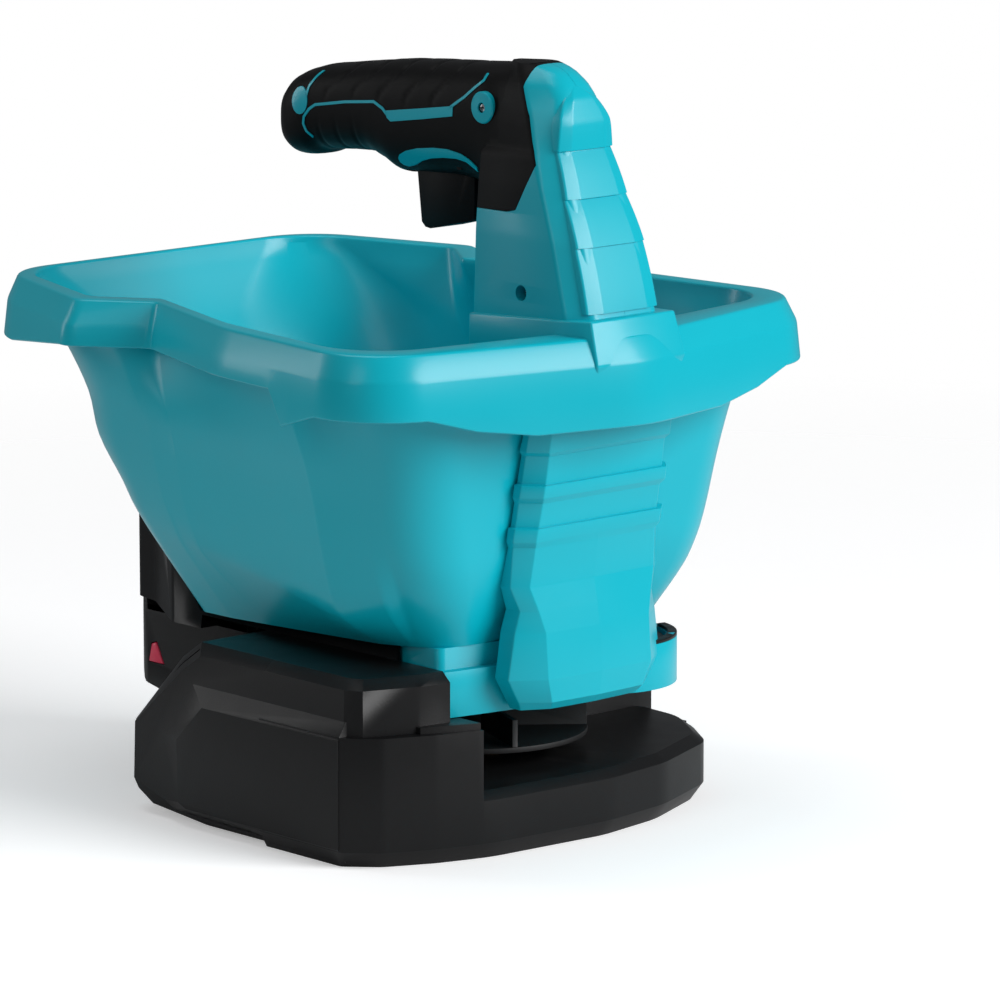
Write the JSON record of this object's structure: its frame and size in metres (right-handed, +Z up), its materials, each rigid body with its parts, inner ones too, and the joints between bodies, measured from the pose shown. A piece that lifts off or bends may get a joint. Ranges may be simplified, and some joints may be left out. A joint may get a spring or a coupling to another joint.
{
  "type": "handheld spreader",
  "caption": "Handheld battery spreader: tapered hopper with a folded rim, arched handle with trigger, flow dial, thumbwheel and a spinning impeller in an open base",
  "frame": {"origin": "on the floor under the hopper's middle plane, 8 mm in front of the impeller shaft's axis, at the centre of the bottom plate's contact patch", "axes": "+Z up; -Y is the front, where the post stands and the base throws; +X is the operator's right with the grip running back along +Y"},
  "size_m": [0.2524, 0.3172, 0.3173],
  "materials": {
    "teal_gloss": "glossy injection-moulded plastic",
    "black_gloss": "satin black moulded plastic",
    "black_soft": "soft-touch black overmould",
    "black_inner": "matt black moulded plastic",
    "grey_inner": "dark grey engineering plastic",
    "grey_dial": "dark grey moulded plastic",
    "red": "red moulded plastic",
    "steel": "zinc-plated or drawn steel",
    "brass": "machined brass and bronze",
    "rubber": "black seal rubber"
  },
  "bodies": {
    "frame": {"hopper": "teal_gloss", "front_column": "teal_gloss", "neck_housing": "teal_gloss", "post_left": "teal_gloss", "post_right": "teal_gloss", "post_panel": "teal_gloss", "grip_left": "black_soft", "grip_right": "black_soft", "grip_inlay": "teal_gloss", "handle_screws": "steel", "trigger_pin": "steel", "trigger_spring": "steel", "trigger_switch": "black_inner", "hopper_screws": "steel", "base_housing": "black_gloss", "base_plate": "black_inner", "base_screws": "steel", "rear_housing": "black_gloss", "dock_terminals": "brass", "speed_board": "grey_inner", "motor": "steel", "shaft_bush": "brass", "shaft_seal": "rubber", "dial_bezel": "black_gloss"},
    "trigger": {"trigger": "black_gloss"},
    "impeller": {"impeller": "grey_inner", "impeller_shaft": "steel", "drive_gear": "grey_inner", "agitator": "steel"},
    "rotor": {"motor_pinion": "brass"},
    "dial": {"flow_dial": "grey_dial"},
    "gate": {"metering_disc": "grey_inner"},
    "speed": {"speed_wheel": "red"},
    "battery": {"battery_case": "black_gloss", "battery_terminals": "brass"},
    "latch_l": {"latch_left": "red"},
    "latch_r": {"latch_right": "red"}
  },
  "joints": [
    {"name": "trigger_pull", "type": "hinge", "parent": "frame", "child": "trigger", "pos_m": [0, 0.003, 0.273], "axis": [1, 0, 0], "range_deg": [0, 10], "stiffness_Nm_per_rad": 0.7, "springref_deg": -8.59, "deforming": ["trigger_spring"]},
    {"name": "impeller_spin", "type": "hinge", "parent": "frame", "child": "impeller", "pos_m": [0, 0.008, 0.03], "axis": [0, 0, 1], "continuous": true},
    {"name": "rotor_spin", "type": "hinge", "parent": "frame", "child": "rotor", "pos_m": [0, 0.074, 0.02], "axis": [0, 0, 1], "continuous": true},
    {"name": "flow_turn", "type": "hinge", "parent": "frame", "child": "dial", "pos_m": [0.03712, -0.02912, 0.07], "axis": [0, 0, 1], "range_deg": [-315, 0]},
    {"name": "gate_turn", "type": "hinge", "parent": "frame", "child": "gate", "pos_m": [0, 0.008, 0.067], "axis": [0, 0, 1], "range_deg": [0, 236.25]},
    {"name": "speed_turn", "type": "hinge", "parent": "frame", "child": "speed", "pos_m": [0.0462, 0.1418, 0.0885], "axis": [0, 0, 1], "range_deg": [-300, 0]},
    {"name": "pack_slide", "type": "slide", "parent": "frame", "child": "battery", "axis": [0, 1, 0], "range_m": [0, 0.08]},
    {"name": "latch_left_press", "type": "slide", "parent": "battery", "child": "latch_l", "axis": [1, 0, 0], "range_m": [0, 0.002], "stiffness_N_per_m": 400, "springref_m": -0.002},
    {"name": "latch_right_press", "type": "slide", "parent": "battery", "child": "latch_r", "axis": [-1, 0, 0], "range_m": [0, 0.002], "stiffness_N_per_m": 400, "springref_m": -0.002}
  ],
  "couplings": [
    {"joint": "rotor_spin", "follows": "impeller_spin", "ratio": -4.5},
    {"joint": "gate_turn", "follows": "flow_turn", "ratio": -0.75}
  ]
}
